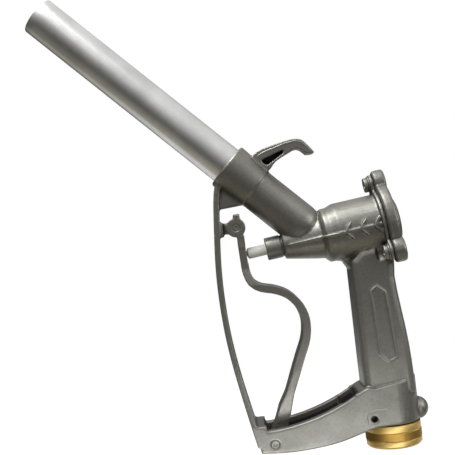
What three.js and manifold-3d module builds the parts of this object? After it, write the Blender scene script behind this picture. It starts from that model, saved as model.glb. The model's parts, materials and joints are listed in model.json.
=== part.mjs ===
import * as THREE from 'three';
import { mergeVertices } from 'three/addons/utils/BufferGeometryUtils.js';
import Module from 'manifold-3d';

const wasm = await Module();
wasm.setup();

// Manual fuel nozzle, millimetres. X runs from the guard to the grip, Z is up the inlet axis,
// Y is across the casting. The origin is the centre of the hose inlet face.

// --- driving dimensions -------------------------------------------------------------------
const DEG = Math.PI / 180;
const VALVE = { x: -26.1, z: 153.6, turn: 6.55 * DEG };
const SPOUT = { x: -38.4, z: 152.2, turn: 135 * DEG };
const INLET = { x: 0, z: 0, turn: 90 * DEG };

const TUBE_R = 14;
const TUBE_BORE = 12.4;
const TUBE_FROM = 62.1;
const TUBE_TO = 254.8;
const NECK_R = 15;
const NECK_BORE = 11.5;
const NECK_FROM = 16;
const COLLAR_FROM = 57;
const COLLAR_TO = 82.7;
const COLLAR_REAR_R = 16;
const COLLAR_MOUTH_R = 17.2;

const CHAMBER_R = 21.1;
const CHAMBER_BORE = 16.5;
const CHAMBER_END = 34.9;
const COVER_R = 28;
const COVER_END = 42.6;
const SCREW_PITCH = 28.4;
const SCREW_ANGLES = { top: 0, near: 135, far: -135 };

const ROD_R = 3.95;
const ROD_DOME = 6;
const ROD_DOME_CENTRE = -58.17;
const STEM_R = 3;

const PIVOT = { x: -95.3, z: 165.7 };
const LEVER_T = 5.8;
const PAD_OFFSET = 4.46;
const PAD_LEAN = 2.86 * DEG;
const TONGUE_HALF = 5.5;
const CHEEK_HALF = 10.5;

const HALF_FOOT = 19.5;
const HALF_GRIP = 16;
const RAIL_TOP_R = 143.3;
const RAIL_FLOOR_R = 155;
const HEEL_BOTTOM = 16.5;

const SWIVEL_R = 20;
const SWIVEL_TOP = 16.1;
const SPIGOT_R = 13.5;
const SPIGOT_TOP = 34;
const LOCK_PIN = { x: -14.8, z: 22.4, r: 2.2 };

// --- materials ----------------------------------------------------------------------------
const paint = (color, roughness, metalness) => new THREE.MeshStandardMaterial({ color, roughness, metalness });
const CAST = paint(0x6f6e67, 0.55, 0.8);
const TUBE = paint(0xc2c1bd, 0.35, 0.9);
const BRASS = paint(0xc9a95c, 0.35, 0.9);
const STEEL = paint(0x9a9a98, 0.35, 1);
const NYLON = paint(0xd8d8d2, 0.5, 0);
const RUBBER = paint(0x1c1c1c, 0.8, 0);

// --- geometry helpers ---------------------------------------------------------------------
function solid(geometry) {
  const bare = geometry.clone();
  bare.deleteAttribute('normal');
  bare.deleteAttribute('uv');
  const merged = mergeVertices(bare, 1e-4);
  const position = merged.getAttribute('position');
  const index = Array.from(merged.index.array);
  const kept = [];
  for (let i = 0; i < index.length; i += 3) {
    const [a, b, c] = index.slice(i, i + 3);
    if (a !== b && b !== c && a !== c) {
      kept.push(a, b, c);
    }
  }
  if (signedVolume(position, kept) < 0) {
    kept.reverse();
  }
  return new wasm.Manifold(new wasm.Mesh({
    numProp: 3,
    vertProperties: new Float32Array(position.array),
    triVerts: new Uint32Array(kept),
  }));
}

function signedVolume(position, index) {
  const [a, b, c] = [new THREE.Vector3(), new THREE.Vector3(), new THREE.Vector3()];
  let volume = 0;
  for (let i = 0; i < index.length; i += 3) {
    a.fromBufferAttribute(position, index[i]);
    b.fromBufferAttribute(position, index[i + 1]);
    c.fromBufferAttribute(position, index[i + 2]);
    volume += a.dot(b.cross(c)) / 6;
  }
  return volume;
}

function node(name, manifold, material) {
  const source = manifold.getMesh();
  const geometry = new THREE.BufferGeometry();
  geometry.setAttribute('position', new THREE.BufferAttribute(new Float32Array(source.vertProperties), 3));
  geometry.setIndex(new THREE.BufferAttribute(new Uint32Array(source.triVerts), 1));
  geometry.computeVertexNormals();
  const mesh = new THREE.Mesh(geometry, material);
  mesh.name = name;
  return mesh;
}

const vec = (x, y, z) => new THREE.Vector3(x, y, z);
const along = line => vec(Math.cos(line.turn), 0, Math.sin(line.turn));
const across = line => vec(-Math.sin(line.turn), 0, Math.cos(line.turn));
const start = (line, s) => vec(line.x, 0, line.z).addScaledVector(along(line), s);

function mapped(geometry, ex, ey, ez, origin) {
  const matrix = new THREE.Matrix4().makeBasis(ex, ey, ez).setPosition(origin);
  return solid(geometry.applyMatrix4(matrix));
}

// A lathe whose profile lists [distance along the line, radius] pairs.
function turned(line, profile, segments = 32) {
  const points = profile.map(([s, r]) => new THREE.Vector2(r, s));
  const lathe = new THREE.LatheGeometry(points, segments);
  return mapped(lathe, across(line), along(line), vec(0, 1, 0), start(line, 0));
}

const rod = (line, from, to, radius, segments = 32) =>
  turned(line, [[from, 0], [from, radius], [to, radius], [to, 0]], segments);

const tube = (line, from, to, outer, inner, segments = 32) =>
  turned(line, [[from, inner], [from, outer], [to, outer], [to, inner], [from, inner]], segments);

function ring(line, s, radius, section, segments = 28) {
  const profile = [];
  for (let i = 0; i <= 6; i += 1) {
    const angle = (i / 6) * 2 * Math.PI;
    profile.push([s + section * Math.sin(angle), radius + section * Math.cos(angle)]);
  }
  return turned(line, profile, segments);
}

const shapeOf = points => new THREE.Shape(points.map(([x, y]) => new THREE.Vector2(x, y)));

function extruded(shape, depth, round = 0, steps = 2) {
  return new THREE.ExtrudeGeometry(shape, {
    depth: depth - 2 * round,
    bevelEnabled: round > 0,
    bevelThickness: round,
    bevelSize: round,
    bevelOffset: -round,
    bevelSegments: steps,
    curveSegments: 10,
  });
}

// A plate whose outline is in the X-Z plane, centred on Y unless it is moved.
function plate(points, y0, y1, round = 0) {
  const shape = points instanceof THREE.Shape ? points : shapeOf(points);
  const body = extruded(shape, y1 - y0, round);
  return mapped(body, vec(1, 0, 0), vec(0, 0, 1), vec(0, -1, 0), vec(0, y1 - round, 0));
}

// A plate whose outline is [up, sideways] round a line, from one distance to another.
function disc(line, shape, from, to, round = 0) {
  const body = extruded(shape, to - from, round);
  return mapped(body, across(line), vec(0, -1, 0), along(line), start(line, from + round));
}

// A prism whose outline is in the Y-Z plane.
function sideways(points, x0, x1) {
  const body = extruded(shapeOf(points), x1 - x0);
  return mapped(body, vec(0, 1, 0), vec(0, 0, 1), vec(1, 0, 0), vec(x0, 0, 0));
}

// A cylinder across the part, along Y.
function pin(x, z, radius, y0, y1, segments = 24) {
  const body = new THREE.CylinderGeometry(radius, radius, y1 - y0, segments);
  return mapped(body, vec(1, 0, 0), vec(0, 1, 0), vec(0, 0, 1), vec(x, (y0 + y1) / 2, z));
}

const ball = (x, y, z, radius) =>
  mapped(new THREE.SphereGeometry(radius, 24, 14), vec(1, 0, 0), vec(0, 1, 0), vec(0, 0, 1), vec(x, y, z));

const union = parts => parts.reduce((whole, part) => whole.add(part));
const cut = (whole, parts) => parts.reduce((left, part) => left.subtract(part), whole);

function spline(points, count) {
  const curve = new THREE.CatmullRomCurve3(points.map(([x, y]) => vec(x, y, 0)), false, 'centripetal');
  return curve.getSpacedPoints(count);
}

// The outline of a strip that follows a centre line; thickness may be a function of 0..1.
function strip(points, thickness, count) {
  const line = spline(points, count);
  const left = [];
  const right = [];
  line.forEach((p, i) => {
    const next = line[Math.min(i + 1, count)];
    const last = line[Math.max(i - 1, 0)];
    const normal = vec(last.y - next.y, next.x - last.x, 0).normalize();
    const half = (typeof thickness === 'function' ? thickness(i / count) : thickness) / 2;
    left.push([p.x + normal.x * half, p.y + normal.y * half]);
    right.unshift([p.x - normal.x * half, p.y - normal.y * half]);
  });
  return left.concat(right);
}

// Points on an arc about the lever pivot, by swing angle from straight down, in degrees.
function swingArc(radius, from, to, count) {
  return Array.from({ length: count + 1 }, (_, i) => {
    const angle = (from + ((to - from) * i) / count) * DEG;
    return [PIVOT.x + radius * Math.sin(angle), PIVOT.z - radius * Math.cos(angle)];
  });
}

// Half widths listed as [height, half width] make a symmetric Y-Z outline.
const mirrored = rows => rows.map(([z, y]) => [y, z]).concat([...rows].reverse().map(([z, y]) => [-y, z]));

// A screw position round the valve axis, as [up, sideways].
function screwAt(angle) {
  return [SCREW_PITCH * Math.cos(angle * DEG), SCREW_PITCH * Math.sin(angle * DEG)];
}

function circleShape([x, y], radius) {
  const shape = new THREE.Shape();
  shape.absarc(x, y, radius, 0, 2 * Math.PI);
  return shape;
}

// --- body casting -------------------------------------------------------------------------
function spoutNeck() {
  const nose = Array.from({ length: 7 }, (_, i) => {
    const angle = i * 15 * DEG;
    return [NECK_FROM - NECK_R * Math.cos(angle), NECK_R * Math.sin(angle)];
  });
  const neck = turned(SPOUT, [...nose, [COLLAR_FROM + 1, NECK_R], [COLLAR_FROM + 1, 0]], 40);
  const collar = turned(SPOUT, [
    [COLLAR_FROM - 1.2, 0], [COLLAR_FROM - 1.2, NECK_R - 0.5], [COLLAR_FROM, COLLAR_REAR_R],
    [COLLAR_TO - 0.8, COLLAR_MOUTH_R], [COLLAR_TO, COLLAR_MOUTH_R - 0.7], [COLLAR_TO, 0],
  ], 40);
  return neck.add(collar);
}

function stemHousing() {
  return turned(VALVE, [
    [-37.5, 0], [-37.5, 9.4], [-37, 9.9], [-17, 14.4], [-4, 16.8], [0, 16.4], [0, 0],
  ], 40);
}

function valveChamber() {
  const barrel = turned(VALVE, [
    [-9, 0], [-9, 16.8], [-6.6, 19.3], [-2.6, 19.3], [2.4, CHAMBER_R],
    [32.3, CHAMBER_R], [32.3, 24], [CHAMBER_END, 24], [CHAMBER_END, 0],
  ], 40);
  const ears = Object.values(SCREW_ANGLES).map(angle => {
    const [up, side] = screwAt(angle);
    const reach = SCREW_PITCH + 6.6;
    const ear = circleShape([up, side], 6.6);
    const lean = vec(up, side, 0).divideScalar(SCREW_PITCH);
    const web = shapeOf([
      [-lean.y * 6.4, lean.x * 6.4], [lean.y * 6.4, -lean.x * 6.4],
      [up + lean.y * 6.4, side - lean.x * 6.4], [up - lean.y * 6.4, side + lean.x * 6.4],
    ]);
    return disc(VALVE, ear, 32.3, CHAMBER_END).add(disc(VALVE, web, 32.3, CHAMBER_END));
  });
  return union([barrel, ...ears]);
}

function flowMarks() {
  const shell = rod(VALVE, 1, 32, CHAMBER_R + 0.7, 40);
  const marks = [5.4, 16.1, 26.8].map(apex => {
    const chevron = [
      [apex, 0], [apex + 3.9, 5], [apex + 5.2, 5], [apex + 1.5, 0],
      [apex + 5.2, -5], [apex + 3.9, -5],
    ];
    const turnedPoints = chevron.map(([s, up]) => {
      const p = start(VALVE, s).addScaledVector(across(VALVE), up);
      return [p.x, p.z];
    });
    return plate(turnedPoints, -24, 24);
  });
  const rib = [[-33, 0.55], [32, 0.55], [32, -0.55], [-33, -0.55]].map(([s, up]) => {
    const p = start(VALVE, s).addScaledVector(across(VALVE), up);
    return [p.x, p.z];
  });
  const ribShell = turned(VALVE, [
    [-33, 0], [-33, 11.2], [-17, 15], [-8, 17.1], [-6.6, 19.9], [-2.6, 19.9],
    [2.4, CHAMBER_R + 0.7], [32, CHAMBER_R + 0.7], [32, 0],
  ], 40);
  return union(marks).intersect(shell).add(plate(rib, -24, 24).intersect(ribShell));
}

function hook() {
  const top = spline([[-79, 213.5], [-75.5, 217.2], [-54, 223], [-47, 223.8], [-42, 222.6], [-38.6, 219], [-33.8, 212.8]], 16);
  const under = spline([[-34.6, 212], [-40, 211.9], [-42.6, 215], [-47, 216.5], [-52, 214.4], [-61.5, 209.5], [-66, 204.5]], 14);
  const outline = [...top, ...under].map(p => [p.x, p.y]).concat([[-78, 199]]);
  const pocket = [[-72.4, 211.2], [-70, 208.2], [-67.6, 207.6], [-56, 214.6], [-55.6, 217]];
  return cut(plate(outline, -7, 7), [plate(pocket, -9, -1.2), plate(pocket, 1.2, 9)]);
}

function grip() {
  const rear = spline([[17.4, 36], [17.2, 52], [15.9, 76], [13.3, 100], [11.6, 119], [12.6, 130], [13.6, 143.5]], 9);
  const outline = [[-18.7, 36], ...rear.map(p => [p.x, p.y]), [-10.5, 141], [-18.7, 133.5]];
  const toe = [[-30, 140], [-27, 136.8], [-22.5, 133.6], [-19.2, 128], [-14, 126], [-12, 146]];
  return plate(outline, -HALF_GRIP, HALF_GRIP, 4.6).add(plate(toe, -10, 10, 2));
}

function gripBadge() {
  const outer = [[-2.7, 115], [-7.6, 111.6], [-6, 66.6], [0, 60.2], [6.6, 62.8], [3.6, 109.8]];
  const inner = [[-2.6, 113.4], [-6.4, 110.8], [-4.9, 67.2], [0, 61.9], [5.4, 64], [2.5, 109]];
  const shape = shapeOf(outer);
  shape.holes.push(new THREE.Path(inner.map(([x, y]) => new THREE.Vector2(x, y))));
  return [[-HALF_GRIP - 0.5, -HALF_GRIP + 1], [HALF_GRIP - 1, HALF_GRIP + 0.5]].map(([y0, y1]) => plate(shape, y0, y1));
}

function heel() {
  const plan = new THREE.Shape();
  plan.moveTo(HALF_FOOT, 26);
  plan.lineTo(HALF_FOOT, 0);
  plan.absarc(0, 0, HALF_FOOT, 0, -Math.PI, true);
  plan.lineTo(-HALF_FOOT, 26);
  const turnedPlan = extruded(plan, 55 - HEEL_BOTTOM, 1.4);
  const under = plate([[-40, 0], [40, 0], [40, 51.6], [-40, 39]], -30, 30);
  const block = mapped(turnedPlan, vec(0, 1, 0), vec(-1, 0, 0), vec(0, 0, 1), vec(0, 0, HEEL_BOTTOM + 1.4));
  return union([block.intersect(under), ball(18.5, 0, 23.6, 8.2), rod(INLET, 38, 44, 17.4, 40)]);
}

function footOutline() {
  const under = spline([[-95.4, 7.5], [-80, 6.3], [-63, 6.5], [-40, 9.2], [-22, 14.2], [-12, 16.8]], 12);
  const rail = swingArc(RAIL_TOP_R, 2.2, 31.4, 10);
  return [
    ...under.map(p => [p.x, p.y]), [-10, 43], [-17, 44.8],
    ...rail.reverse(), [-90, 26.2], [-98.6, 26.2],
  ];
}

function foot() {
  return plate(footOutline(), -HALF_FOOT, HALF_FOOT, 1.1);
}

function railSlot() {
  const slot = [...swingArc(RAIL_FLOOR_R, 2.2, 28.6, 10), ...swingArc(120, 34, 1, 6)];
  const wide = [...swingArc(RAIL_FLOOR_R - 3, 23.6, 28.6, 4), ...swingArc(120, 34, 29, 3)];
  return [plate(slot, -12.5, 12.5), plate(wide, -15, 15)];
}

function guard() {
  const line = [[-104.4, 198], [-106.3, 190], [-108.9, 165], [-110.8, 138], [-110.9, 115],
    [-109.2, 88], [-105.4, 61], [-99.6, 31], [-95.6, 12]];
  const bar = plate(strip(line, t => 4.4 - 0.6 * t, 28), -HALF_FOOT, HALF_FOOT);
  const width = mirrored([[200, 9], [175, 9], [110, 9.5], [62, 11], [26, HALF_FOOT - 0.2], [2, HALF_FOOT - 0.2]]);
  const gusset = [[-105, 199], [-107.4, 179.7], [-88.4, 181.2], [-85, 186]];
  return bar.intersect(sideways(width, -130, -80)).add(plate(gusset, -6, 6));
}

function pivotTongue() {
  const pad = plate([[-108.5, 159.6], [-104.2, 160], [-104.2, 170.4], [-107.5, 171]], -8, 8);
  const neck = plate([[-105, 162], [-95.3, 160.8], [-95.3, 170.6], [-105, 169.4]], -TONGUE_HALF, TONGUE_HALF);
  return union([pad, neck, pin(PIVOT.x, PIVOT.z, 5.6, -TONGUE_HALF, TONGUE_HALF)]);
}

function flowPassages() {
  const gripWay = [[-9.5, 33], [9.5, 33], [11.4, 60], [9, 95], [7, 119], [7.2, 150], [-13, 150], [-13.5, 100], [-12, 60]];
  return [
    rod(SPOUT, -3, 61, NECK_BORE, 32),
    rod(SPOUT, 60, 100, TUBE_R + 0.1, 40),
    rod(VALVE, -16, 1, NECK_BORE, 32),
    rod(VALVE, 0, 60, CHAMBER_BORE, 40),
    plate(gripWay, -10, 10, 3),
    rod(INLET, 0, 34.3, SPIGOT_R + 0.08, 40),
    rod(INLET, 33, 38, 9.6, 32),
  ];
}

function coverRelief() {
  const lugs = Object.values(SCREW_ANGLES).map(angle => disc(VALVE, circleShape(screwAt(angle), 9.4), CHAMBER_END, 56));
  return union([rod(VALVE, CHAMBER_END, 56, COVER_R + 0.5, 36), ...lugs]);
}

function fittingCuts() {
  const heads = Object.values(SCREW_ANGLES).map(angle => disc(VALVE, circleShape(screwAt(angle), 6.7), 24, 32.3));
  const screws = Object.values(SCREW_ANGLES).map(angle => disc(VALVE, circleShape(screwAt(angle), 2.75), 30, 40));
  return [
    ...heads, ...screws, ...railSlot(), coverRelief(),
    rod(INLET, -5, SWIVEL_TOP + 0.35, SWIVEL_R + 0.6, 40),
    rod(VALVE, -52, -37.5, 8.5, 32),
    rod(VALVE, -60, -28.5, 6.7, 32),
    rod(VALVE, -30, -10, 5.8, 32),
    pin(PIVOT.x, PIVOT.z, 3.5, -20, 20),
    pin(LOCK_PIN.x, LOCK_PIN.z, LOCK_PIN.r + 0.05, -30, 12),
    pin(-85.4, 13.2, 2.85, -30, 30),
    pin(-75.9 - 13.1, 152.2 + 50.6, 2.05, 0, 30, 24),
  ];
}

function bodyCasting() {
  const web = plate([[-69, 163.5], [-62.6, 157.6], [-48, 152], [-48, 168]], -4.5, 4.5, 1.5);
  const outer = union([
    spoutNeck(), stemHousing(), valveChamber(), flowMarks(), hook(), grip(), ...gripBadge(),
    heel(), foot(), guard(), pivotTongue(), web,
  ]);
  return cut(outer, [...flowPassages(), ...fittingCuts()]);
}

// --- spout --------------------------------------------------------------------------------
function spoutPieces() {
  const pipe = turned(SPOUT, [
    [TUBE_FROM, TUBE_BORE], [TUBE_FROM, TUBE_R - 0.5], [TUBE_FROM + 0.5, TUBE_R],
    [TUBE_TO - 0.4, TUBE_R], [TUBE_TO, TUBE_R - 0.4], [TUBE_TO, TUBE_BORE], [TUBE_FROM, TUBE_BORE],
  ], 40);
  const screw = pin(-75.9 - 13.1, 152.2 + 50.6, 1.95, TUBE_R + 0.1, 16, 24);
  const socket = pin(-75.9 - 13.1, 152.2 + 50.6, 1, 15, 17, 6);
  return [
    node('spout_tube', pipe, TUBE),
    node('spout_seal_ring', tube(SPOUT, 61.05, 62, TUBE_R - 0.1, NECK_BORE + 0.1), RUBBER),
    node('spout_set_screw', screw.subtract(socket), STEEL),
  ];
}

// --- valve and gland ----------------------------------------------------------------------
function glandPieces() {
  const nut = turned(VALVE, [
    [-49.7, ROD_R + 0.2], [-49.7, 7.6], [-49.2, 8.1], [-37.9, 8.1], [-37.6, 7.8], [-37.6, 6.6],
    [-28.9, 6.6], [-28.9, ROD_R + 0.2], [-49.7, ROD_R + 0.2],
  ]);
  const bush = turned(VALVE, [
    [-28.4, ROD_R + 0.06], [-28.4, 5.7], [-16.2, 5.7], [-16.2, ROD_R + 0.06],
    [-18, ROD_R + 0.06], [-18, 5.2], [-20.2, 5.2], [-20.2, ROD_R + 0.06],
    [-24, ROD_R + 0.06], [-24, 5.2], [-26.2, 5.2], [-26.2, ROD_R + 0.06], [-28.4, ROD_R + 0.06],
  ]);
  return [
    node('gland_nut', nut, CAST),
    node('stem_bush', bush, BRASS),
    node('stem_o_ring_outer', ring(VALVE, -25.1, ROD_R + 0.62, 0.57), RUBBER),
    node('stem_o_ring_inner', ring(VALVE, -19.1, ROD_R + 0.62, 0.57), RUBBER),
  ];
}

function domedRod() {
  const profile = [];
  for (let i = 0; i <= 5; i += 1) {
    const angle = (i / 5) * Math.asin(ROD_R / ROD_DOME);
    profile.push([ROD_DOME_CENTRE - ROD_DOME * Math.cos(angle), ROD_DOME * Math.sin(angle)]);
  }
  profile.push([-14.05, ROD_R], [-14.05, 0]);
  return turned(VALVE, profile, 40);
}

function springPath(from, to, radius, turns) {
  const points = [];
  const count = turns * 16;
  for (let i = 0; i <= count; i += 1) {
    const angle = (i / 16) * 2 * Math.PI;
    points.push(start(VALVE, from + ((to - from) * i) / count)
      .addScaledVector(across(VALVE), radius * Math.cos(angle))
      .add(vec(0, radius * Math.sin(angle), 0)));
  }
  return new THREE.CatmullRomCurve3(points);
}

function valveSpring() {
  const wire = new THREE.Shape();
  wire.absarc(0, 0, 0.9, 0, 2 * Math.PI);
  const coil = new THREE.ExtrudeGeometry(wire, {
    steps: 96,
    curveSegments: 3,
    bevelEnabled: false,
    extrudePath: springPath(12.2, 37.2, 9.2, 6),
  });
  return solid(coil);
}

function valvePieces() {
  const stem = rod(VALVE, -14, 16, STEM_R, 32);
  const nutShape = new THREE.Shape(Array.from({ length: 6 }, (_, i) =>
    new THREE.Vector2(5.6 * Math.cos(i * 60 * DEG), 5.6 * Math.sin(i * 60 * DEG))));
  nutShape.holes.push(circleShape([0, 0], STEM_R + 0.04));
  const poppet = turned(VALVE, [
    [7.05, STEM_R + 0.04], [7.05, 12.8], [9.4, 12.8], [10.6, 11.4], [10.6, STEM_R + 0.04], [7.05, STEM_R + 0.04],
  ]);
  return [
    node('push_rod', domedRod(), NYLON),
    node('valve_stem', stem, STEEL),
    node('seal_retainer', tube(VALVE, 1.9, 3.95, 8.4, STEM_R + 0.04), BRASS),
    node('poppet_seal', tube(VALVE, 4.03, 7, 12.8, STEM_R + 0.04), RUBBER),
    node('valve_poppet', poppet, BRASS),
    node('poppet_nut', disc(VALVE, nutShape, 10.65, 14.2), STEEL),
    node('valve_spring', valveSpring(), STEEL),
  ];
}

function seatRing() {
  return turned(VALVE, [
    [0.05, 11], [0.05, CHAMBER_BORE - 0.05], [3.4, CHAMBER_BORE - 0.05],
    [3.4, 12.6], [4, 12.2], [4, 11.4], [3.6, 11], [0.05, 11],
  ]);
}

// --- rear cover ---------------------------------------------------------------------------
function rearCover() {
  const rim = turned(VALVE, [
    [CHAMBER_END + 0.1, 0], [CHAMBER_END + 0.1, 26.4], [35.5, 27.5], [36.6, COVER_R], [41, COVER_R],
    [42.1, 27.5], [COVER_END, 26.4], [COVER_END, 0],
  ], 40);
  const lugs = Object.values(SCREW_ANGLES).map(angle =>
    disc(VALVE, circleShape(screwAt(angle), 8.9), CHAMBER_END + 0.1, COVER_END + 1, 1.6));
  const dome = turned(VALVE, [[40, 0], [40, 18], [COVER_END, 18], [45.2, 16.4], [46.4, 13.4], [46.4, 0]]);
  const spigot = rod(VALVE, 31.6, 36, CHAMBER_BORE - 0.06, 40);
  const groove = tube(VALVE, 32.4, 34.4, CHAMBER_BORE + 1, 15.1, 40);
  const pocket = rod(VALVE, 30, 38.2, 11.4, 32);
  const taps = Object.values(SCREW_ANGLES).map(angle => disc(VALVE, circleShape(screwAt(angle), 2.6), 34, 42));
  return cut(union([rim, ...lugs, dome, spigot]), [groove, pocket, ...taps]);
}

function coverScrew(angle) {
  const at = screwAt(angle);
  const head = disc(VALVE, circleShape(at, 5.2), 28.4, 31.3, 0.6);
  const shank = disc(VALVE, circleShape(at, 2.5), 31, 41.6);
  const hex = Array.from({ length: 6 }, (_, i) =>
    [at[0] + 2.6 * Math.cos(i * 60 * DEG), at[1] + 2.6 * Math.sin(i * 60 * DEG)]);
  return head.add(shank).subtract(disc(VALVE, shapeOf(hex), 25, 30.4));
}

function coverWasher(angle) {
  const shape = circleShape(screwAt(angle), 6);
  shape.holes.push(circleShape(screwAt(angle), 2.7));
  return disc(VALVE, shape, 31.4, 32.25);
}

function coverPieces() {
  const screws = Object.entries(SCREW_ANGLES).flatMap(([name, angle]) => [
    node(`cover_screw_${name}`, coverScrew(angle), STEEL),
    node(`cover_washer_${name}`, coverWasher(angle), STEEL),
  ]);
  return [
    node('rear_cover', rearCover(), CAST),
    node('cover_o_ring', ring(VALVE, 33.4, 15.82, 0.6, 40), RUBBER),
    ...screws,
  ];
}

// --- trigger lever ------------------------------------------------------------------------
function lever() {
  const arm = [[-92.62, 160], [-92.7, 157], [-92.64, 153], [-92.04, 141], [-91.4, 133], [-88.4, 125.6], [-82.6, 121.6],
    [-73.5, 119.2], [-64.6, 115], [-57.4, 107], [-53.9, 98], [-53.6, 90], [-55.4, 81], [-60, 70.4], [-66.8, 54],
    [-71, 44]];
  const blade = [[-73.4, 45.8], [-79, 36.5], [-82.2, 28.4], ...swingArc(148, 3, 7.6, 4), [-71.8, 29.6], [-67.9, 43.8]];
  const thickness = t => LEVER_T - 0.8 * Math.max(0, 1 - t / 0.25);
  const side = mirrored([[176, CHEEK_HALF], [158, CHEEK_HALF], [151, 7.5], [136, 7.5], [124, 10], [60, 10], [44, 8.5], [24, 5.5], [12, 5.5]]);
  const body = union([plate(strip(arm, thickness, 36), -11, 11, 1), plate(blade, -11, 11), leverEye()]);
  return cut(body.intersect(sideways(side, -110, -40)), [
    pin(PIVOT.x, PIVOT.z, 7.4, -TONGUE_HALF - 0.25, TONGUE_HALF + 0.25, 40),
    plate([[-110, 155], [-97.6, 155], [-97.6, 180], [-110, 180]], -TONGUE_HALF - 0.25, TONGUE_HALF + 0.25),
    pin(PIVOT.x, PIVOT.z, 2.55, -20, 20),
    plate(pushFace(), -20, 20),
  ]);
}

// The flat that bears on the push rod, as the outline of what is cut away in front of it.
function pushFace() {
  const out = [Math.cos(PAD_LEAN), Math.sin(PAD_LEAN)];
  const down = [Math.sin(PAD_LEAN), -Math.cos(PAD_LEAN)];
  const at = (offset, drop) => [
    PIVOT.x + out[0] * offset + down[0] * drop,
    PIVOT.z + out[1] * offset + down[1] * drop,
  ];
  return [at(PAD_OFFSET, 13.5), at(PAD_OFFSET + 6, 13.5), at(PAD_OFFSET + 6, 26), at(PAD_OFFSET, 26)];
}

function leverEye() {
  const nub = plate([[-97, 168], [-91.8, 168], [-91.8, 175.4], [-96.4, 175.4]], -CHEEK_HALF, CHEEK_HALF, 0.8);
  return nub.add(pin(PIVOT.x, PIVOT.z, 6.8, -CHEEK_HALF, CHEEK_HALF, 40));
}

function leverPieces() {
  const sleeve = pin(PIVOT.x, PIVOT.z, 3.45, -TONGUE_HALF, TONGUE_HALF).subtract(pin(PIVOT.x, PIVOT.z, 2.55, -20, 20));
  return [
    node('trigger_lever', lever(), CAST),
    node('trigger_pivot_pin', pin(PIVOT.x, PIVOT.z, 2.5, -CHEEK_HALF, CHEEK_HALF), STEEL),
    node('pivot_sleeve', sleeve, NYLON),
  ];
}

// --- hose swivel --------------------------------------------------------------------------
function swivelStub() {
  const profile = [
    [0, 16.2], [0, 18.6], [1.2, SWIVEL_R - 0.2], [5, SWIVEL_R - 0.2], [5, SWIVEL_R], [11, SWIVEL_R],
    [11, SWIVEL_R - 0.2], [SWIVEL_TOP - 0.6, SWIVEL_R - 0.2], [SWIVEL_TOP, SWIVEL_R - 0.8], [SWIVEL_TOP, SPIGOT_R],
    [20.1, SPIGOT_R], [20.1, 12.5], [24.7, 12.5], [24.7, SPIGOT_R], [27.2, SPIGOT_R], [27.2, 12],
    [30, 12], [30, SPIGOT_R], [SPIGOT_TOP - 0.6, SPIGOT_R], [SPIGOT_TOP, SPIGOT_R - 0.6],
    [SPIGOT_TOP, 9.6], [13.6, 9.6], [13.6, 15.2], [1, 15.2], [0, 16.2],
  ];
  return turned(INLET, profile, 40);
}

function strainer() {
  const wall = 0.6;
  const profile = [[11.9, 9], [11.9, 14.4], [12.5, 14.4], [12.5, 9.2], [30, 5.2], [30, 0], [29.4, 0], [29.4, 4.9 - wall / 2],
    [12.5, 9 - wall], [11.9, 9]];
  return turned(INLET, profile, 40);
}

function swivelPieces() {
  return [
    node('hose_swivel', swivelStub(), BRASS),
    node('hose_washer', tube(INLET, 9.6, 11.8, 15, 9.8), RUBBER),
    node('inlet_strainer', strainer(), STEEL),
    node('swivel_o_ring', ring(INLET, 28.6, 12.78, 0.7), RUBBER),
    node('swivel_lock_pin', pin(LOCK_PIN.x, LOCK_PIN.z, LOCK_PIN.r, -13.6, 11), STEEL),
    node('rail_cross_pin', pin(-85.4, 13.2, 2.8, -HALF_FOOT, HALF_FOOT), STEEL),
  ];
}

// --- assembly -----------------------------------------------------------------------------
const nozzle = new THREE.Group();
nozzle.name = 'fuel_nozzle';
nozzle.add(
  node('body_casting', bodyCasting(), CAST),
  ...spoutPieces(),
  ...glandPieces(),
  node('valve_seat_ring', seatRing(), BRASS),
  ...valvePieces(),
  ...coverPieces(),
  ...leverPieces(),
  ...swivelPieces(),
);

export default nozzle;
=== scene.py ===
import json
import math

import bmesh
import bpy
from mathutils import Matrix, Vector


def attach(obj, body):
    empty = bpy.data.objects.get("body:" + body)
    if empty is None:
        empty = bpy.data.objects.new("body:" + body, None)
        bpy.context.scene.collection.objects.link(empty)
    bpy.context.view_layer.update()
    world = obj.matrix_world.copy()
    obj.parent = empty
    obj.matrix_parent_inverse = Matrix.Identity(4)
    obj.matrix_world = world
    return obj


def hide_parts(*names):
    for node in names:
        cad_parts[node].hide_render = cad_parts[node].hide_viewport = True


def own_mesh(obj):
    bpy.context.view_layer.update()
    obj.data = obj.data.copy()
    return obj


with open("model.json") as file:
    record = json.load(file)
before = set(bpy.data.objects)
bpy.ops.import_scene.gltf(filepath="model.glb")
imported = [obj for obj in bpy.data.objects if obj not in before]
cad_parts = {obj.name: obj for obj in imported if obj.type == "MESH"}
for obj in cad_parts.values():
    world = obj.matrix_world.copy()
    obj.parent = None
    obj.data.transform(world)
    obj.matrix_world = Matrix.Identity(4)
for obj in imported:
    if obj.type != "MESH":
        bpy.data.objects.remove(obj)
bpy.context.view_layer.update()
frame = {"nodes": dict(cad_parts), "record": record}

MM = 0.001
DEG = math.pi / 180


# --- lines of the design, in millimetres, as in the CAD ----------------------------------------
class Line:
    """An axis in the X-Z plane, with its start and its direction."""

    def __init__(self, x, z, turn):
        self.start = Vector((x, 0, z))
        self.along = Vector((math.cos(turn * DEG), 0, math.sin(turn * DEG)))
        self.across = Vector((-math.sin(turn * DEG), 0, math.cos(turn * DEG)))

    def point(self, s, radius=0.0, angle=0.0):
        """angle 0 is up, 90 is towards +Y."""
        side = Vector((0, 1, 0))
        around = self.across * math.cos(angle * DEG) + side * math.sin(angle * DEG)
        return self.start + self.along * s + around * radius


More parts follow.
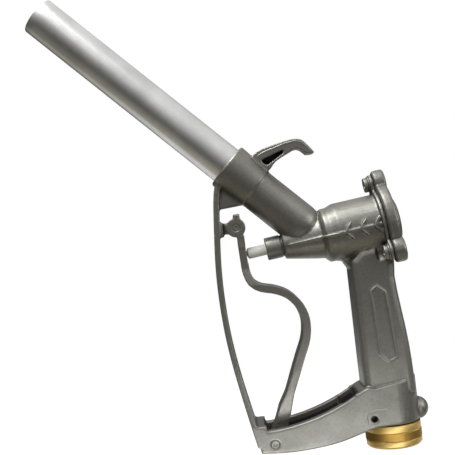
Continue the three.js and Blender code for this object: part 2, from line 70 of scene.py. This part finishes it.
VALVE_TILT = 6.55
VALVE = Line(-26.1, 153.6, VALVE_TILT)
SPOUT = Line(-38.4, 152.2, 135)
INLET = Line(0, 0, 90)
PIVOT = Vector((-95.3, 0, 165.7))
CHAMBER_R = 21.1
ROD_R = 3.95
ROD_DOME_R = 6
GRIP_FACE_Y = 16.1
FOOT_FACE_Y = 19.3
HOOK_RIM_Y = 6.6
SCREW_CIRCLE_R = 28.4
SCREW_ANGLES = {"top": 0, "near": -135, "far": 135}


# --- materials ---------------------------------------------------------------------------------
def new_material(name):
    material = bpy.data.materials.new(name)
    material.use_nodes = True
    nodes = material.node_tree.nodes
    return material, nodes, material.node_tree.links, nodes["Principled BSDF"]


def coordinates(nodes, links, scale=(1, 1, 1), turn=(0, 0, 0)):
    place = nodes.new("ShaderNodeTexCoord")
    mapping = nodes.new("ShaderNodeMapping")
    mapping.inputs["Scale"].default_value = scale
    mapping.inputs["Rotation"].default_value = turn
    links.new(place.outputs["Object"], mapping.inputs["Vector"])
    return mapping.outputs["Vector"]


def noise(nodes, links, vector, scale, detail=4.0, rough=0.6):
    node = nodes.new("ShaderNodeTexNoise")
    node.inputs["Scale"].default_value = scale
    node.inputs["Detail"].default_value = detail
    node.inputs["Roughness"].default_value = rough
    links.new(vector, node.inputs["Vector"])
    return node.outputs["Fac"]


def ramp(nodes, links, value, stops):
    node = nodes.new("ShaderNodeValToRGB")
    elements = node.color_ramp.elements
    while len(elements) < len(stops):
        elements.new(0.5)
    for element, (place, color) in zip(elements, stops):
        element.position = place
        element.color = (*color, 1) if len(color) == 3 else color
    links.new(value, node.inputs["Fac"])
    return node.outputs["Color"]


def mix(nodes, links, factor, a, b, blend="MIX"):
    node = nodes.new("ShaderNodeMix")
    node.data_type = "RGBA"
    node.blend_type = blend
    for socket, value in ((node.inputs["Factor"], factor), (node.inputs["A"], a), (node.inputs["B"], b)):
        if isinstance(value, (int, float)):
            socket.default_value = value
        elif isinstance(value, tuple):
            socket.default_value = (*value, 1)
        else:
            links.new(value, socket)
    return node.outputs["Result"]


def bump(nodes, links, heights, shader):
    """heights lists (socket, strength, distance in metres)."""
    last = None
    for height, strength, distance in heights:
        node = nodes.new("ShaderNodeBump")
        node.inputs["Strength"].default_value = strength
        node.inputs["Distance"].default_value = distance
        links.new(height, node.inputs["Height"])
        if last:
            links.new(last, node.inputs["Normal"])
        last = node.outputs["Normal"]
    links.new(last, shader.inputs["Normal"])


def pointiness(nodes, links, low, high):
    node = nodes.new("ShaderNodeNewGeometry")
    return ramp(nodes, links, node.outputs["Pointiness"], [(low, (0, 0, 0)), (high, (1, 1, 1))])


def grey(value):
    """The slightly warm grey of the castings."""
    return (value, value * 0.985, value * 0.88)


def cast_metal(name, base, roughness):
    """Shot-blasted casting: fine grain, soft blotches, edges painted brighter for wear and as a painted
    highlight, and painted shade in inside corners.
    """
    material, nodes, links, shader = new_material(name)
    place = coordinates(nodes, links)
    grain = noise(nodes, links, place, 1900, 3, 0.7)
    pits = noise(nodes, links, place, 700, 4, 0.65)
    blotch = noise(nodes, links, place, 38, 5, 0.6)
    shades = [(0.3, grey(base * 0.8)), (0.55, grey(base)), (0.75, grey(base * 1.15))]
    tone = ramp(nodes, links, blotch, shades)
    speck = ramp(nodes, links, pits, [(0.32, (0.72, 0.72, 0.72)), (0.5, (1, 1, 1))])
    tone = mix(nodes, links, 0.7, tone, speck, "MULTIPLY")
    # convex edges painted brighter: partly wear, partly a painted highlight
    wear_and_highlight = pointiness(nodes, links, 0.52, 0.6)
    tone = mix(nodes, links, wear_and_highlight, tone, grey(min(1.0, base * 1.4)))
    # concave corners painted near-black: painted shade where light does not reach
    painted_corner_shade = pointiness(nodes, links, 0.44, 0.49)
    tone = mix(nodes, links, painted_corner_shade, grey(base * 0.18), tone)
    links.new(tone, shader.inputs["Base Color"])
    rough = ramp(nodes, links, blotch, [(0.3, (roughness + 0.08,) * 3), (0.7, (roughness - 0.06,) * 3)])
    links.new(rough, shader.inputs["Roughness"])
    shader.inputs["Metallic"].default_value = 0.85
    bump(nodes, links, [(pits, 0.35, 0.0002), (grain, 0.3, 0.0001)], shader)
    return material


def drawn_metal(name, turn):
    """Satin drawn tube: faint streaks along its length, small scuffs."""
    material, nodes, links, shader = new_material(name)
    along = coordinates(nodes, links, (1, 1, 0.02), turn)
    place = coordinates(nodes, links)
    streak = noise(nodes, links, along, 1500, 4, 0.7)
    cloud = noise(nodes, links, place, 45, 4, 0.6)
    scuff = noise(nodes, links, place, 260, 6, 0.75)
    tone = ramp(nodes, links, cloud, [(0.3, (0.5, 0.5, 0.49)), (0.7, (0.62, 0.62, 0.605))])
    lines = ramp(nodes, links, streak, [(0.3, (0.8, 0.8, 0.8)), (0.7, (1, 1, 1))])
    tone = mix(nodes, links, 0.35, tone, lines, "MULTIPLY")
    marks = ramp(nodes, links, scuff, [(0.26, (0.55, 0.55, 0.55)), (0.36, (1, 1, 1))])
    tone = mix(nodes, links, 0.5, tone, marks, "MULTIPLY")
    links.new(tone, shader.inputs["Base Color"])
    rough = ramp(nodes, links, streak, [(0.3, (0.36,) * 3), (0.7, (0.27,) * 3)])
    links.new(rough, shader.inputs["Roughness"])
    shader.inputs["Metallic"].default_value = 0.95
    bump(nodes, links, [(streak, 0.12, 0.00006)], shader)
    return material


def turned_metal(name, color, roughness):
    """Machined metal: fine tool rings round Z and slight tarnish."""
    material, nodes, links, shader = new_material(name)
    place = coordinates(nodes, links)
    rings = noise(nodes, links, coordinates(nodes, links, (0.01, 0.01, 1)), 2600, 3, 0.6)
    cloud = noise(nodes, links, place, 90, 4, 0.6)
    dark = tuple(c * 0.72 for c in color)
    tone = ramp(nodes, links, cloud, [(0.3, dark), (0.62, color)])
    links.new(tone, shader.inputs["Base Color"])
    rough = ramp(nodes, links, cloud, [(0.3, (roughness + 0.1,) * 3), (0.7, (roughness,) * 3)])
    links.new(rough, shader.inputs["Roughness"])
    shader.inputs["Metallic"].default_value = 1.0
    bump(nodes, links, [(rings, 0.15, 0.00005)], shader)
    return material


def moulded(name, color, roughness, clear=0.0):
    """Rubber, nylon, or a near-black sheet of painted shade; clear is how far light goes into it."""
    material, nodes, links, shader = new_material(name)
    place = coordinates(nodes, links)
    cloud = noise(nodes, links, place, 120, 3, 0.5)
    tone = ramp(nodes, links, cloud, [(0.3, tuple(c * 0.88 for c in color)), (0.7, color)])
    links.new(tone, shader.inputs["Base Color"])
    shader.inputs["Roughness"].default_value = roughness
    shader.inputs["Subsurface Weight"].default_value = clear
    shader.inputs["Subsurface Radius"].default_value = (0.004, 0.004, 0.0035)
    shader.inputs["Subsurface Scale"].default_value = 1.0
    bump(nodes, links, [(noise(nodes, links, place, 1500, 3, 0.6), 0.15, 0.00005)], shader)
    return material


CAST = cast_metal("cast_aluminium", 0.175, 0.44)
CAST_LIGHT = cast_metal("cast_cover", 0.165, 0.46)
# a near-black copy of the casting, used as painted shade beside the raised arrow marks
CAST_SHADE = cast_metal("cast_painted_shade", 0.055, 0.55)
TUBE = drawn_metal("drawn_aluminium", (0, 45 * DEG, 0))
BRASS = turned_metal("brass", (0.62, 0.44, 0.16), 0.46)
BRASS_DULL = turned_metal("brass_knurl", (0.4, 0.25, 0.06), 0.45)
STEEL = turned_metal("steel", (0.3, 0.295, 0.27), 0.42)
NYLON = moulded("nylon", (0.66, 0.655, 0.62), 0.42, 0.2)
RUBBER = moulded("rubber", (0.03, 0.03, 0.03), 0.65)
# near-black material for sheets that paint shade in the hook pocket and the lever channel
SHADE_SHEET = moulded("shade_sheet", (0.012, 0.012, 0.016), 0.8)


# --- mesh helpers ------------------------------------------------------------------------------
def shade_smooth(mesh):
    for face in mesh.polygons:
        face.use_smooth = True


def add_object(name, bm, material, body, replaced=(), smooth_angle=35):
    """A mesh object that rides a body and stands in for the CAD nodes in replaced."""
    mesh = bpy.data.meshes.new(name)
    bmesh.ops.recalc_face_normals(bm, faces=bm.faces)
    bm.to_mesh(mesh)
    bm.free()
    mesh.materials.append(material)
    shade_smooth(mesh)
    obj = bpy.data.objects.new(name, mesh)
    bpy.context.scene.collection.objects.link(obj)
    if smooth_angle:
        mesh.set_sharp_from_angle(angle=smooth_angle * DEG)
    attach(obj, body)
    if replaced:
        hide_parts(*replaced)
    return obj


def lathe(line, profile, segments=96):
    """A closed profile of (s, radius) pairs, turned about a line; radius 0 closes on the axis."""
    bm = bmesh.new()
    rows = []
    for s, radius in profile:
        if radius <= 1e-6:
            rows.append([bm.verts.new(line.point(s) * MM)])
        else:
            angles = [360 * i / segments for i in range(segments)]
            rows.append([bm.verts.new(line.point(s, radius, angle) * MM) for angle in angles])
    if profile[0] == profile[-1]:
        for vert in rows[-1]:
            bm.verts.remove(vert)
        rows[-1] = rows[0]
    for low, high in zip(rows, rows[1:]):
        for i in range(segments):
            j = (i + 1) % segments
            if len(low) == 1 and len(high) == 1:
                continue
            if len(low) == 1:
                bm.faces.new((low[0], high[i], high[j]))
            elif len(high) == 1:
                bm.faces.new((low[i], high[0], low[j]))
            else:
                bm.faces.new((low[i], high[i], high[j], low[j]))
    return bm


def rounded(profile, radius, steps=3, closed=False):
    """Rounds the corners of a profile of (s, radius) pairs."""
    result = []
    count = len(profile)
    for i, (s, r) in enumerate(profile):
        if not closed and i in (0, count - 1):
            result.append((s, r))
            continue
        here = Vector((s, r))
        back = Vector(profile[i - 1]) - here
        ahead = Vector(profile[(i + 1) % count]) - here
        reach = min(radius, back.length * 0.45, ahead.length * 0.45)
        a = here + back.normalized() * reach
        b = here + ahead.normalized() * reach
        for k in range(steps + 1):
            t = k / steps
            p = a * (1 - t) ** 2 + here * 2 * t * (1 - t) + b * t ** 2
            result.append((p.x, p.y))
    if closed:
        result.append(result[0])
    return result


def tube_along(bm, points, radius, closed=False, sides=10, flat=1.0, normal=None):
    """A round bar along points, added to bm; flat under 1 squeezes it along normal."""
    rings = []
    count = len(points)
    for i, point in enumerate(points):
        ahead = points[(i + 1) % count] if closed or i < count - 1 else point
        back = points[i - 1] if closed or i > 0 else point
        forward = (ahead - back).normalized()
        up = normal(point) if callable(normal) else (normal or Vector((0, 1, 0)))
        side = forward.cross(up).normalized()
        up = side.cross(forward).normalized()
        ends = 1.0 if closed or 0 < i < count - 1 else 0.55
        wide, tall = side * radius * ends, up * radius * ends * flat
        rings.append([
            bm.verts.new((point + wide * math.cos(a) + tall * math.sin(a)) * MM)
            for a in (2 * math.pi * k / sides for k in range(sides))
        ])
    pairs = list(zip(rings, rings[1:])) + ([(rings[-1], rings[0])] if closed else [])
    for low, high in pairs:
        for k in range(sides):
            m = (k + 1) % sides
            bm.faces.new((low[k], low[m], high[m], high[k]))
    if not closed:
        bm.faces.new(rings[0][::-1])
        bm.faces.new(rings[-1])


def cast_copy(node, name, voxel, rounds, keep, material, body):
    """A casting's skin: the solid's own shape with every edge and inside corner softened."""
    source = frame["nodes"][node]
    bm = bmesh.new()
    bm.from_mesh(source.data)
    obj = add_object(name, bm, material, body, (node,), smooth_angle=0)
    remesh = obj.modifiers.new("skin", "REMESH")
    remesh.mode = "VOXEL"
    remesh.voxel_size = voxel * MM
    remesh.use_smooth_shade = True
    soften = obj.modifiers.new("soften", "SMOOTH")
    soften.factor = 0.5
    soften.iterations = rounds
    thin = obj.modifiers.new("thin", "DECIMATE")
    thin.ratio = keep
    depsgraph = bpy.context.evaluated_depsgraph_get()
    baked = bpy.data.meshes.new_from_object(obj.evaluated_get(depsgraph))
    obj.modifiers.clear()
    obj.data = baked
    baked.materials.clear()
    baked.materials.append(material)
    shade_smooth(baked)


# --- castings ----------------------------------------------------------------------------------
def castings():
    cast_copy("body_casting", "casting_skin", 0.7, 3, 0.5, CAST, "casting")
    cast_copy("rear_cover", "cover_skin", 0.6, 4, 0.5, CAST_LIGHT, "casting")
    cast_copy("trigger_lever", "lever_skin", 0.5, 5, 0.5, CAST, "lever")


def surface(s, up, radius):
    """A point on the valve chamber's far side, at a height above its axis."""
    return VALVE.point(s, radius, math.degrees(math.acos(up / radius)))


def mirror_y(points):
    return [Vector((p.x, -p.y, p.z)) for p in points]


def flow_marks():
    """Three arrow marks, the parting line through them and its ridge along the stem housing, with flat dark
    bands under the arrows as painted shade.
    """
    bm = bmesh.new()
    edges = bmesh.new()
    radius = CHAMBER_R + 0.05
    arm_length, arm_height = 5.2, 6

    def outward(point):
        foot = VALVE.point((point - VALVE.start).dot(VALVE.along))
        return (point - foot).normalized()

    for apex in (5.9, 16.6, 26.4):
        shares = [i / 4 for i in range(-4, 5)]
        points = [surface(apex + arm_length * abs(t), arm_height * t, radius) for t in shares]
        for side in (points, mirror_y(points)):
            tube_along(bm, side, 0.65, normal=outward)
            # wide flat dark band under each arrow arm: painted shade
            tube_along(edges, side, 1.35, normal=outward, flat=0.28)
    line = [surface(2.6 + 29 * i / 12, 0, radius) for i in range(13)]
    rise = (
        (-34, 10.7), (-25, 12.7), (-17, 14.5), (-10.5, 15.7),
        (-8.6, 16.9), (-6.9, 19.3), (-2.6, 19.45), (2.4, 21.1),
    )
    nose = [VALVE.point(s, r, 90) for s, r in rise]
    for side in (line, mirror_y(line)):
        tube_along(bm, side, 0.6, normal=outward)
    for side in (nose, mirror_y(nose)):
        tube_along(bm, side, 0.85, normal=outward)
    add_object("flow_marks", bm, CAST, "casting", smooth_angle=50)
    add_object("flow_mark_shade", edges, CAST_SHADE, "casting", smooth_angle=50)


def grip_badge():
    """The long raised frame on each side of the grip, left blank."""
    bm = bmesh.new()
    outline = [(-2.7, 114.2), (-7, 111.2), (-5.4, 66.9), (0, 61), (6, 63.4), (3, 109.4)]
    for depth in (-GRIP_FACE_Y, GRIP_FACE_Y):
        points = []
        for i, (x, z) in enumerate(outline):
            nx, nz = outline[(i + 1) % len(outline)]
            steps = 12 if abs(nz - z) > 20 else 3
            for k in range(steps):
                points.append(Vector((x + (nx - x) * k / steps, depth, z + (nz - z) * k / steps)))
        tube_along(bm, points, 0.75, closed=True)
    add_object("grip_badge", bm, CAST, "casting", smooth_angle=50)


def relief_lines():
    """Cast lips: the hook's rim and the boss round the lock pin's hole. A dark sheet in the hook's pocket
    paints its shade.
    """
    bm = bmesh.new()
    rim = [
        (-76.5, 213.6), (-70, 216.4), (-62, 218.7), (-54, 221),
        (-47.4, 221.9), (-42.8, 220.9), (-39.8, 217.9), (-36.2, 213.6),
    ]
    boss = [(-20.1, 16.5), (-20, 22), (-19.2, 25.6), (-17.2, 27.8), (-13.5, 28.7), (-5.3, 28.8)]
    for line, depth, radius in ((rim, HOOK_RIM_Y, 0.9), (boss, FOOT_FACE_Y, 0.6)):
        for side in (-depth, depth):
            tube_along(bm, [Vector((x, side, z)) for x, z in line], radius, flat=0.8)
    add_object("relief_lines", bm, CAST, "casting", smooth_angle=50)
    # a near-black sheet across the hook's pocket: painted shade
    shade_sheet = bmesh.new()
    pocket = [(-72.2, 211), (-70, 208.5), (-67.6, 207.9), (-56.2, 214.7), (-55.8, 216.8)]
    web = 1.5
    near, far = ([shade_sheet.verts.new(Vector((x, y, z)) * MM) for x, z in pocket] for y in (-web, web))
    shade_sheet.faces.new(near)
    shade_sheet.faces.new(far)
    for i in range(len(pocket)):
        shade_sheet.faces.new((near[i - 1], near[i], far[i], far[i - 1]))
    add_object("pocket_shade", shade_sheet, SHADE_SHEET, "casting", smooth_angle=0)


def channel_shade():
    """Dark sheets on the walls of the channel the lever's tip runs in, in bands round the lever's pivot:
    painted shade down the channel walls.
    """
    bm = bmesh.new()
    top, thick, steps = 146.7, 0.3, 24
    for wall, first, last, floor in ((12.42, 3, 23.5, 154.4), (14.92, 23.7, 28.4, 151.8)):
        section = ((top, wall), (floor, wall), (floor, wall + thick), (top, wall + thick))
        for side in (-1, 1):
            rings = []
            for i in range(steps + 1):
                angle = (first + (last - first) * i / steps) * DEG
                down = Vector((math.sin(angle), 0, -math.cos(angle)))
                corners = [PIVOT + down * r + Vector((0, side * y, 0)) for r, y in section]
                rings.append([bm.verts.new(corner * MM) for corner in corners])
            for one, two in zip(rings, rings[1:]):
                for j in range(4):
                    k = (j + 1) % 4
                    bm.faces.new((one[j], one[k], two[k], two[j]))
            bm.faces.new(rings[0])
            bm.faces.new(rings[-1])
    add_object("channel_shade", bm, SHADE_SHEET, "casting")


# --- turned parts ------------------------------------------------------------------------------
def spout_tube():
    """The pipe, with rings every few millimetres along it."""
    profile = rounded([(62.1, 12.4), (62.1, 14), (254.8, 14), (254.8, 12.4)], 0.45, 3, closed=True)
    long = []
    for (s0, r0), (s1, r1) in zip(profile, profile[1:]):
        steps = max(1, int(abs(s1 - s0) / 6))
        long += [(s0 + (s1 - s0) * k / steps, r0 + (r1 - r0) * k / steps) for k in range(steps)]
    long.append(long[0])
    pipe = lathe(SPOUT, long, 128)
    add_object("spout_pipe", pipe, TUBE, "casting", ("spout_tube",))


def push_rod():
    """A domed rod that leans on the lever."""
    dome, inner_end = -58.17, -14.05
    profile = [(dome - ROD_DOME_R, 0)]
    for i in range(1, 9):
        angle = i / 8 * math.asin(3.6 / ROD_DOME_R)
        profile.append((dome - ROD_DOME_R * math.cos(angle), ROD_DOME_R * math.sin(angle)))
    profile += [(-62.85, ROD_R - 0.1), (-62.6, ROD_R), (inner_end, ROD_R), (inner_end, 0)]
    add_object("nylon_rod", lathe(VALVE, profile, 64), NYLON, "stem", ("push_rod",))


def valve_spring():
    """The coil between poppet and cover, which the stem squeezes as it slides back; here one fixed helix."""
    turns, per_turn = 6, 24
    front, length, radius, wire = 12.2, 25, 9.2, 0.9
    points = []
    for i in range(turns * per_turn + 1):
        angle = i / per_turn * 360
        points.append(VALVE.point(front + length * i / (turns * per_turn), radius, angle))
    bm = bmesh.new()
    tube_along(bm, points, wire, sides=8, normal=VALVE.along)
    spring = add_object("spring_coil", bm, STEEL, "casting", ("valve_spring",), smooth_angle=60)
    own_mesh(spring)


def gland_nut():
    """A round cap with a groove at its inner end."""
    profile = rounded([
        (-49.7, 4.2), (-49.7, 8.1), (-38.9, 8.1), (-38.9, 7.4), (-38.2, 7.4),
        (-38.2, 7.8), (-37.6, 7.8), (-37.6, 6.6), (-28.9, 6.6), (-28.9, 4.2),
    ], 0.5, 3, closed=True)
    add_object("gland_cap", lathe(VALVE, profile, 72), CAST, "casting", ("gland_nut",))


def knurled_band(bm, low, high, radius, depth, teeth, rows):
    """A closed band of crossed knurling, plain at its edges."""
    rings = []
    around = teeth * 2
    for row in range(rows + 1):
        z = low + (high - low) * row / rows
        ring = []
        for i in range(around):
            edge = row in (0, rows)
            raised = (i + row) % 2 == 0
            r = radius - depth if edge or not raised else radius
            angle = math.pi * i / teeth
            ring.append(bm.verts.new(Vector((r * math.cos(angle), r * math.sin(angle), z)) * MM))
        rings.append(ring)
    inner = []
    for ring in (rings[0], rings[-1]):
        inner.append([bm.verts.new(Vector((v.co.x * 0.97, v.co.y * 0.97, v.co.z))) for v in ring])
    for a, b in (*zip(rings, rings[1:]), (rings[0], inner[0]), inner, (rings[-1], inner[1])):
        for i in range(around):
            j = (i + 1) % around
            bm.faces.new((a[i], a[j], b[j], b[i]))


def swivel():
    """The brass ring, its neck up inside the grip and the knurled band round it."""
    body = rounded([
        (0, 15.9), (0, 18.4), (1.5, 19.75), (4.7, 19.75), (4.95, 19.35), (11.05, 19.35), (11.3, 19.75),
        (15.9, 19.75), (16.1, 13.5), (20.1, 13.5), (20.1, 12.5), (24.7, 12.5), (24.7, 13.5),
        (27.2, 13.5), (27.2, 12), (30, 12), (30, 13.5), (34, 13.5),
        (34, 9.6), (13.6, 9.6), (13.6, 15.2), (0.8, 15.2),
    ], 0.25, 2, closed=True)
    bm = lathe(INLET, body, 120)
    add_object("swivel_ring", bm, BRASS, "swivel", ("hose_swivel",), smooth_angle=20)
    band = bmesh.new()
    knurled_band(band, 5.0, 11.0, 20.0, 0.6, 84, 12)
    add_object("swivel_knurl", band, BRASS_DULL, "swivel", smooth_angle=15)


def inlet_thread():
    """The female thread, as a helix standing on the wall of the ring's bore."""
    bm = bmesh.new()
    pitch, turns, steps = 2.31, 4.4, 40
    radius, first = 15.25, 1.6
    points = []
    for i in range(int(turns * steps)):
        angle = 2 * math.pi * i / steps
        points.append(Vector((radius * math.cos(angle), radius * math.sin(angle), first + pitch * i / steps)))
    tube_along(bm, points, 0.55, normal=lambda p: Vector((p.x, p.y, 0)).normalized(), sides=6)
    add_object("inlet_thread", bm, BRASS, "swivel", smooth_angle=60)


def cover_screws():
    """Socket-head screws from the front, through a washer and a lug into the cover."""
    for name, angle in SCREW_ANGLES.items():
        centre = VALVE.point(0, SCREW_CIRCLE_R, angle)
        line = Line(centre.x, centre.z, VALVE_TILT)
        shift = Vector((0, centre.y * MM, 0))
        screw = rounded([
            (30.4, 0), (30.4, 2.4), (28.4, 2.5), (28.4, 5.2),
            (31.3, 5.2), (31.3, 2.5), (41.6, 2.5), (41.6, 0),
        ], 0.45, 3)
        washer = rounded([(31.4, 2.7), (31.4, 6), (32.25, 6), (32.25, 2.7)], 0.2, 2, closed=True)
        for title, profile, node in (("cap_screw", screw, "screw"), ("screw_washer", washer, "washer")):
            bm = lathe(line, profile, 48)
            bmesh.ops.translate(bm, verts=bm.verts, vec=shift)
            add_object(f"{title}_{name}", bm, CAST, "casting", (f"cover_{node}_{name}",), 30)


def pin_across(name, x, z, radius, y0, y1, material, replaced, dish):
    """A pin along Y with eased ends; dish sinks the middle of its ends."""
    bm = bmesh.new()
    flat = radius * 0.6
    sides = 40
    half = [(y0 + dish, 0), (y0, flat), (y0, radius)]
    profile = rounded([*half, (y1, radius), (y1, flat), (y1 - dish, 0)], 0.3, 3)
    rows = []
    for y, r in profile:
        angles = [2 * math.pi * k / sides for k in range(sides if r > 1e-6 else 1)]
        ring = [Vector((x + r * math.cos(a), y, z + r * math.sin(a))) for a in angles]
        rows.append([bm.verts.new(place * MM) for place in ring])
    for low, high in zip(rows, rows[1:]):
        for i in range(sides):
            j = (i + 1) % sides
            corners = [low[i % len(low)], high[i % len(high)], high[j % len(high)], low[j % len(low)]]
            bm.faces.new(list(dict.fromkeys(corners)))
    add_object(name, bm, material, "casting", (replaced,), 30)


def pins():
    pin_across("cross_pin", -85.4, 13.2, 2.8, -19.35, 19.35, CAST, "rail_cross_pin", 0.5)
    pin_across("lock_pin", -14.8, 22.4, 2.2, -13.6, 11, RUBBER, "swivel_lock_pin", 0.3)
    pin_across("pivot_pin", PIVOT.x, PIVOT.z, 2.5, -10.3, 10.3, CAST, "trigger_pivot_pin", 0.2)


def finish_cad_nodes():
    """The finishes of the inner pieces, which show as the CAD has them."""
    finishes = {
        "rubber": RUBBER, "brass": BRASS, "steel": STEEL, "nylon": NYLON,
        "cast_aluminium": CAST, "drawn_aluminium": TUBE,
    }
    slots = {row["node"]: row["material_slot"] for row in frame["record"]["subparts"]}
    for name, obj in frame["nodes"].items():
        if obj.material_slots:
            for place in obj.material_slots:
                place.material = finishes[slots[name]]
        else:
            obj.data.materials.append(finishes[slots[name]])


# --- stage -------------------------------------------------------------------------------------
def stage():
    """A plain pale floor, a little below the part and behind it, evenly lit so that no shadow shows."""
    left, right, front, back, level = -0.6, 0.45, 0.05, 0.65, -0.05
    mesh = bpy.data.meshes.new("floor")
    corners = [(left, front, level), (right, front, level), (right, back, level), (left, back, level)]
    mesh.from_pydata(corners, [], [(0, 1, 2, 3)])
    floor = bpy.data.objects.new("floor", mesh)
    bpy.context.scene.collection.objects.link(floor)
    material, _, _, shader = new_material("floor")
    shader.inputs["Base Color"].default_value = (0.05, 0.05, 0.05, 1)
    shader.inputs["Roughness"].default_value = 0.9
    shader.inputs["Emission Color"].default_value = (1, 1, 1, 1)
    shader.inputs["Emission Strength"].default_value = 0.98
    mesh.materials.append(material)


def area_light(name, place, target, size, power, spread=180):
    """A soft box aimed at target; spread in degrees."""
    data = bpy.data.lights.new(name, "AREA")
    data.shape = "RECTANGLE"
    data.size, data.size_y = size
    data.energy = power
    data.spread = math.radians(spread)
    light = bpy.data.objects.new(name, data)
    light.location = place
    aim = Vector(target) - Vector(place)
    light.rotation_euler = aim.to_track_quat("-Z", "Y").to_euler()
    bpy.context.scene.collection.objects.link(light)


def studio_world():
    """A soft box overhead, a dim room and a dark far wall; plain white where it is seen directly."""
    world = bpy.data.worlds.new("studio")
    world.use_nodes = True
    nodes, links = world.node_tree.nodes, world.node_tree.links
    shade = nodes["Background"]
    direction = nodes.new("ShaderNodeTexCoord")
    split = nodes.new("ShaderNodeSeparateXYZ")
    links.new(direction.outputs["Generated"], split.inputs["Vector"])
    height = nodes.new("ShaderNodeMapRange")
    height.inputs["From Min"].default_value = -1
    links.new(split.outputs["Z"], height.inputs["Value"])
    depth = nodes.new("ShaderNodeMapRange")
    depth.inputs["From Min"].default_value = 0.15
    depth.inputs["From Max"].default_value = 0.55
    links.new(split.outputs["Y"], depth.inputs["Value"])
    front = ramp(nodes, links, height.outputs["Result"], [
        (0.0, (0.62, 0.58, 0.48)), (0.146, (0.62, 0.58, 0.47)), (0.2, (0.42, 0.39, 0.33)),
        (0.29, (0.07, 0.07, 0.065)), (0.37, (0.05, 0.05, 0.05)), (0.46, (0.17, 0.17, 0.165)),
        (0.6, (0.52, 0.52, 0.515)), (0.74, (0.8, 0.8, 0.8)), (0.85, (1, 1, 1)), (1.0, (1, 1, 1)),
    ])
    back = ramp(nodes, links, height.outputs["Result"], [
        (0.0, (0.9, 0.85, 0.7)), (0.24, (1, 0.95, 0.8)), (0.38, (0.12, 0.12, 0.12)),
        (0.46, (0.02, 0.022, 0.03)), (0.62, (0.02, 0.022, 0.03)), (0.72, (0.6, 0.6, 0.61)),
        (0.85, (1, 1, 1)), (1.0, (1, 1, 1)),
    ])
    light = mix(nodes, links, depth.outputs["Result"], front, back)
    ray = nodes.new("ShaderNodeLightPath")
    seen = mix(nodes, links, ray.outputs["Is Camera Ray"], light, (1.0, 1.0, 1.0))
    links.new(seen, shade.inputs["Color"])
    shade.inputs["Strength"].default_value = 1.0
    bpy.context.scene.world = world


def lights():
    middle = (-0.1, 0, 0.17)
    area_light("key_top", (-0.3, -0.1, 0.9), middle, (0.8, 0.4), 11)
    area_light("key_front", (-0.3, -0.55, 0.75), (-0.06, 0, 0.05), (0.5, 0.4), 0.5)
    area_light("fill_low", (-0.11, -0.2, -0.12), (-0.07, 0, 0.0), (0.2, 0.1), 0.065, 44)
    area_light("fill_foot", (0.05, -0.28, -0.04), (-0.05, 0, 0.0), (0.15, 0.08), 0.02, 40)
    area_light("rim_right", (0.45, -0.25, 0.3), (0, 0, 0.08), (0.3, 0.3), 1.3)
    studio_world()


def camera():
    """Square on from the near side, rolled so that the grip leans as it does in the hand."""
    data = bpy.data.cameras.new("camera")
    data.sensor_width = 36
    data.lens = 73.5
    data.clip_start = 0.01
    cam = bpy.data.objects.new("camera", data)
    roll = 6.6 * DEG
    place = Vector((-0.10116, -0.664, 0.16666))
    right = Vector((math.cos(roll), 0, -math.sin(roll)))
    up = Vector((math.sin(roll), 0, math.cos(roll)))
    back = Vector((0, -1, 0))
    cam.matrix_world = Matrix.Translation(place) @ Matrix((right, up, back)).transposed().to_4x4()
    bpy.context.scene.collection.objects.link(cam)
    bpy.context.scene.camera = cam


bpy.context.scene.view_settings.view_transform = "Standard"
camera()
castings()
flow_marks()
grip_badge()
relief_lines()
channel_shade()
spout_tube()
push_rod()
valve_spring()
gland_nut()
swivel()
inlet_thread()
cover_screws()
pins()
finish_cad_nodes()
stage()
lights()
